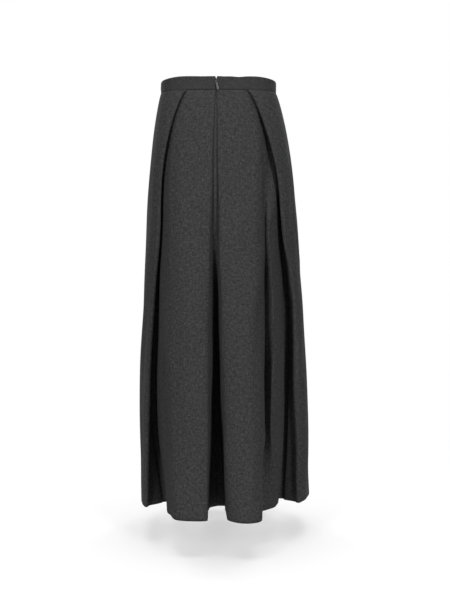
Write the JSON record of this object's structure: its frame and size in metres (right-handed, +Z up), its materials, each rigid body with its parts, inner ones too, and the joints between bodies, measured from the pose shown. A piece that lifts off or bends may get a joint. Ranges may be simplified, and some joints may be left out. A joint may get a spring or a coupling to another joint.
{
  "type": "maxi skirt",
  "caption": "Full-length dark grey flannel skirt in its worn shape, with deep unpressed pleats, a plain waistband and a centre-back zip.",
  "frame": {"origin": "centre of the waistband, on the body's axis and halfway up the band's height", "axes": "+Z up along the body; -Y is the back of the skirt, where the zip is and which the picture shows; +X is to the right as the back is seen, which is the wearer's right"},
  "size_m": [0.4042, 0.395, 0.97],
  "materials": {
    "flannel": "soft brushed wool flannel, dark grey melange, no sheen",
    "zip_tape": "flat woven black tape",
    "zip_metal": "dark grey satin enamel"
  },
  "bodies": {
    "skirt": {"waistband": "flannel", "front": "flannel", "back_left": "flannel", "back_right": "flannel", "zip_tape_left": "zip_tape", "zip_tape_right": "zip_tape", "zip_slider": "zip_metal"},
    "pull_tab": {"zip_pull": "zip_metal"}
  },
  "joints": [
    {"name": "pull_tab_swing", "type": "hinge", "parent": "skirt", "child": "pull_tab", "pos_m": [-0.00508, -0.09689, 0.0045], "axis": [-0.9848, 0, -0.1736], "range_deg": [0, 150]}
  ]
}
